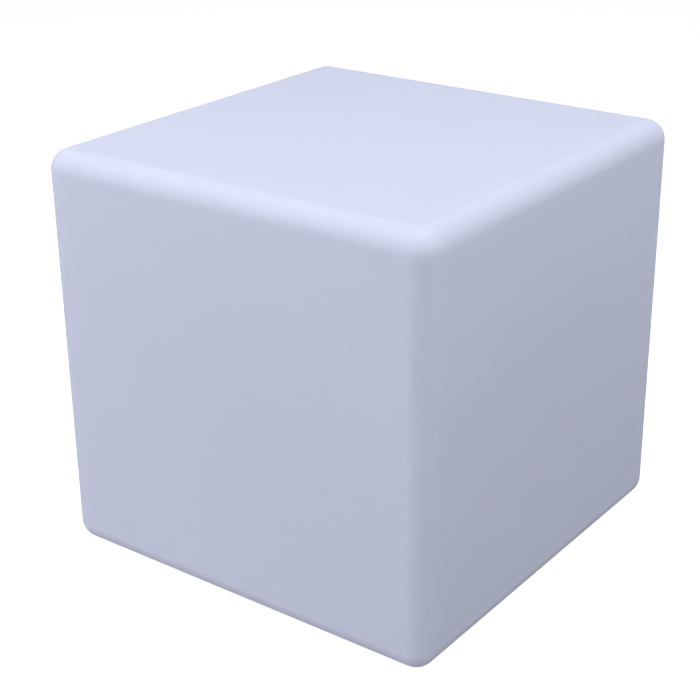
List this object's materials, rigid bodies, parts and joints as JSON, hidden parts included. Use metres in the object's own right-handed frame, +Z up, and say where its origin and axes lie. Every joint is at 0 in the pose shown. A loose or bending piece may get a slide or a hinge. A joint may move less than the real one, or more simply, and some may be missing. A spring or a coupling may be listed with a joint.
{
  "type": "led cube light",
  "caption": "Milky rounded cube garden light: a hollow moulded shell with a sealed, screwed-in light module under it, with a push button and a covered charging socket.",
  "frame": {"origin": "middle of the base on the floor", "axes": "+Z up; +X towards the charging cover, the picture's right face; -Y is the picture's left face"},
  "size_m": [0.4, 0.4, 0.383],
  "materials": {
    "milky_shell": "satin milky polyethylene",
    "white_abs": "fine moulded grain",
    "grey_silicone": "matt",
    "stainless": "turned",
    "cell_wrap": "shrunk sleeve",
    "nickel": "bright strip",
    "green_board": "solder mask",
    "white_board": "white solder mask on aluminium",
    "black_epoxy": "moulded",
    "ferrite": "sintered",
    "can_aluminium": "bright",
    "cream_nylon": "moulded",
    "led_package": "moulded",
    "led_phosphor": "silicone",
    "clear_pc": "clear",
    "black_metal": "anodised",
    "button_metal": "satin",
    "brass_nickel": "plated",
    "black_pbt": "moulded",
    "cover_rubber": "matt, soft",
    "wire_black": "PVC",
    "wire_red": "PVC",
    "wire_white": "PVC"
  },
  "bodies": {
    "light": {"shell": "milky_shell", "module_housing": "white_abs", "flange_gasket": "grey_silicone", "flange_screws": "stainless", "battery_cells": "cell_wrap", "cell_tabs": "nickel", "battery_strap": "black_pbt", "strap_screw": "stainless", "control_board": "green_board", "board_chips": "black_epoxy", "power_coil": "ferrite", "capacitor": "can_aluminium", "board_headers": "cream_nylon", "lead_plugs": "cream_nylon", "led_board": "white_board", "leds": "led_package", "led_windows": "led_phosphor", "remote_receiver": "black_epoxy", "lens": "clear_pc", "switch_body": "black_metal", "switch_nut": "brass_nickel", "charge_socket": "black_pbt", "socket_contact": "brass_nickel", "socket_nut": "brass_nickel", "cover_root": "cover_rubber", "switch_lead": "wire_black", "socket_lead": "wire_red", "battery_lead": "wire_red", "led_lead": "wire_white"},
    "button": {"power_button": "button_metal"},
    "cover": {"charge_cover": "cover_rubber"}
  },
  "joints": [
    {"name": "button_press", "type": "slide", "parent": "light", "child": "button", "axis": [0, 0, 1], "range_m": [0, 0.0015], "stiffness_N_per_m": 1500},
    {"name": "cover_hinge", "type": "hinge", "parent": "light", "child": "cover", "pos_m": [0.008, 0, 0.016], "axis": [0, 1, 0], "range_deg": [0, 150]}
  ]
}
